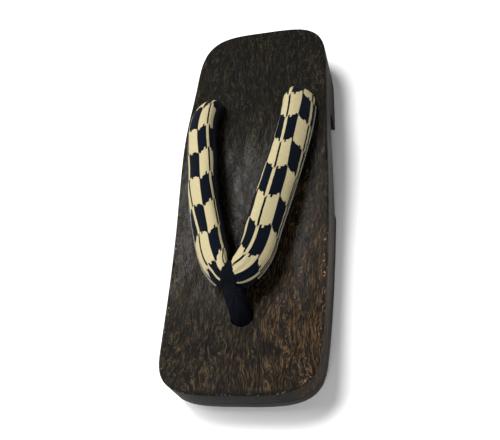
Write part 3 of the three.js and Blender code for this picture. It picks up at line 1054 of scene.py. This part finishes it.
def sole_rubber():
    f = Finish("sole_rubber")
    place = f.place()
    pores = f.noise(place, 2.4, 3.0, 0.6)
    dust = f.noise(place, 0.12, 3.0)
    colour = f.ramp(f.math("ADD", f.math("MULTIPLY", dust, 0.7), f.math("MULTIPLY", pores, 0.3)),
                    (0.35, (0.007, 0.007, 0.008)), (0.7, (0.02, 0.02, 0.021)))
    return f.done(colour, f.step(pores, 0.3, 0.7, 0.7, 0.9), f.bump(pores, 0.12, 0.6),
                  Specular_IOR_Level=0.3)


CREAM = (0.44, 0.385, 0.225, 1)
NAVY = (0.0018, 0.0034, 0.0082, 1)
COTTON_PITCH = 0.55
LINING_PITCH = 0.6


def arrow_feathers(f, u, v):
    """How far the cloth is cream at a place: columns of half feathers, one block light and the
    next dark, each with a shaft of the other colour and ends that are jagged thread by thread."""
    across = f.math("ADD", f.math("DIVIDE", v, COLUMN_WIDTH), 0.5)
    number = f.math("FLOOR", across)
    from_shaft = f.math("ABSOLUTE", f.math("SUBTRACT", f.math("FRACT", across), 0.5))
    from_shaft = f.math("MULTIPLY", from_shaft, COLUMN_WIDTH)
    thread = f.math("FLOOR", f.math("DIVIDE", v, THREAD))
    fray = f.node("ShaderNodeTexWhiteNoise", f.join(thread, f.math("MULTIPLY", number, 3.7)),
                  noise_dimensions="2D").outputs["Value"]
    fray = f.math("MULTIPLY", f.math("SUBTRACT", fray, 0.5), FRAY)
    along = f.math("ADD", u, f.math("MULTIPLY", from_shaft, FEATHER_SLANT))
    along = f.math("ADD", along, fray)
    block = f.math("FLOOR", f.math("DIVIDE", along, BLOCK_LENGTH))
    light = f.math("SUBTRACT", 1.0, f.math("FLOORED_MODULO", f.math("ADD", block, number), 2.0))
    wobble = f.noise(f.join(f.math("MULTIPLY", u, 0.35), v), 1.0, 2.0)
    wobble = f.math("MULTIPLY", f.math("SUBTRACT", wobble, 0.5), 0.5)
    core = f.math("ADD", from_shaft, wobble)
    dark_shaft = f.step(core, *DARK_SHAFT, 1.0, 0.0)
    light_shaft = f.step(core, *LIGHT_SHAFT, 1.0, 0.0)
    shaft = f.math("ADD", f.math("MULTIPLY", light, dark_shaft),
                   f.math("MULTIPLY", f.math("SUBTRACT", 1.0, light), light_shaft))
    edge = f.step(f.math("SUBTRACT", COLUMN_WIDTH / 2, from_shaft), *COLUMN_EDGE)
    plain = f.math("MULTIPLY", light, edge)
    return f.math("ABSOLUTE", f.math("SUBTRACT", plain, shaft))


def weave(f, u, v, pitch):
    """The height of a plain weave with a pitch in millimetres."""
    turn = 2 * math.pi / pitch
    warp = f.math("SINE", f.math("MULTIPLY", v, turn))
    weft = f.math("SINE", f.math("MULTIPLY", u, turn))
    return f.math("MULTIPLY", warp, weft)


def strap_cotton():
    f = Finish("strap_cotton")
    u, v = f.cloth_place()
    light = arrow_feathers(f, u, v)
    slub = f.noise(f.join(f.math("MULTIPLY", u, 0.5), f.math("MULTIPLY", v, 2.2)), 1.0, 3.0)
    colour = f.blend(light, NAVY, CREAM)
    shade = f.ramp(slub, (0.3, (0.8, 0.78, 0.76)), (0.7, (1, 1, 1)))
    colour = f.blend(1.0, colour, shade, "MULTIPLY")
    threads = f.math("MULTIPLY", weave(f, u, v, COTTON_PITCH), 0.5)
    height = f.math("ADD", threads, f.math("MULTIPLY", slub, 0.8))
    return f.done(colour, 0.88, f.bump(height, 0.1, 0.7), Specular_IOR_Level=0.06,
                  Sheen_Weight=0.01, Sheen_Roughness=0.5)


def dark_lining():
    f = Finish("dark_lining")
    u, v = f.cloth_place()
    slub = f.noise(f.join(f.math("MULTIPLY", u, 0.8), f.math("MULTIPLY", v, 1.6)), 1.0, 3.0)
    colour = f.ramp(slub, (0.3, (0.0035, 0.004, 0.0062)), (0.7, (0.008, 0.009, 0.014)))
    height = f.math("ADD", f.math("MULTIPLY", weave(f, u, v, LINING_PITCH), 0.5), slub)
    return f.done(colour, 0.95, f.bump(height, 0.1, 0.7), Specular_IOR_Level=0.05,
                  Sheen_Weight=0.01, Sheen_Roughness=0.45)


def thong_cloth():
    f = Finish("thong_cloth")
    place = f.place()
    nap = f.noise(place, 1.8, 4.0, 0.65)
    colour = f.ramp(nap, (0.3, (0.0014, 0.0018, 0.003)), (0.72, (0.004, 0.0052, 0.0085)))
    return f.done(colour, 0.95, f.bump(nap, 0.15, 0.7), Specular_IOR_Level=0.05,
                  Sheen_Weight=0.008, Sheen_Roughness=0.4, Sheen_Tint=(0.45, 0.55, 0.8, 1))


def piping_thread():
    f = Finish("piping_thread")
    place = f.place()
    twist = f.noise(place, 1.4, 2.0)
    colour = f.ramp(twist, (0.35, (0.07, 0.07, 0.068)), (0.65, (0.2, 0.19, 0.165)))
    return f.done(colour, 0.85, f.bump(twist, 0.1, 0.5), Specular_IOR_Level=0.12)


def dress(piece, *materials):
    for material in materials:
        piece.data.materials.append(material)


# The stage


def make_camera():
    data = bpy.data.cameras.new("camera")
    data.lens = CAMERA_LENS
    data.sensor_width = 36
    data.clip_start = 0.01
    camera = placed("camera", data)
    forward = (CAMERA_AIM - CAMERA_PLACE).normalized()
    right = forward.cross(Vector((0, 0, 1))).normalized()
    up = right.cross(forward)

    def seen(place):
        way = place - CAMERA_PLACE
        return Vector((way.dot(right), way.dot(up))) / way.dot(forward)

    heel = seen(Vector((0, to_y(0), foot_face(0))) * MM)
    toe = seen(Vector((0, to_y(LENGTH), foot_face(LENGTH))) * MM)
    now = math.atan2(toe.y - heel.y, toe.x - heel.x)
    wanted = math.atan2(HEEL_PIXEL[1] - TOE_PIXEL[1], TOE_PIXEL[0] - HEEL_PIXEL[0])
    roll = now - wanted
    turned_right = right * math.cos(roll) + up * math.sin(roll)
    turned_up = up * math.cos(roll) - right * math.sin(roll)
    camera.matrix_world = (
        (turned_right.x, turned_right.y, turned_right.z, 0),
        (turned_up.x, turned_up.y, turned_up.z, 0),
        (-forward.x, -forward.y, -forward.z, 0),
        (*CAMERA_PLACE, 1))
    bpy.context.scene.camera = camera


def make_lamp(name, way, distance, size, power):
    data = bpy.data.lights.new(name, "AREA")
    data.shape = "DISK"
    data.size = size
    data.energy = power
    light = placed(name, data)
    direction = Vector(way).normalized()
    light.location = direction * distance
    light.rotation_euler = direction.to_track_quat("Z", "Y").to_euler()


def make_stage():
    nothing_selected()
    bpy.ops.mesh.primitive_plane_add(size=6, location=(0, 0, -0.0001))
    floor = new_piece("floor")
    f = Finish("floor")
    dress(floor, f.done(PAPER, 0.9, Specular_IOR_Level=0.1))
    world = bpy.data.worlds.new("studio")
    world.use_nodes = True
    background = world.node_tree.nodes["Background"]
    background.inputs["Color"].default_value = (1, 1, 1, 1)
    background.inputs["Strength"].default_value = SKY
    bpy.context.scene.world = world
    for lamp in LAMPS:
        make_lamp(**lamp)
    bpy.context.scene.view_settings.view_transform = "Standard"


make_camera()
make_stage()

wood = scorched_wood()
rubber = sole_rubber()
cotton = strap_cotton()
lining = dark_lining()
thong_finish = thong_cloth()
thread = piping_thread()

dress(make_board(), wood)
dress(make_forefoot_sole(), rubber)
dress(make_heel_sole(), rubber)
strap, strap_sections, half_girth = make_strap()
dress(strap, cotton, lining)
for piping in make_piping(strap_sections, half_girth):
    dress(piping, thread)
dress(make_thong(strap_sections), thong_finish)
for knot in make_knots():
    dress(knot, thong_finish)
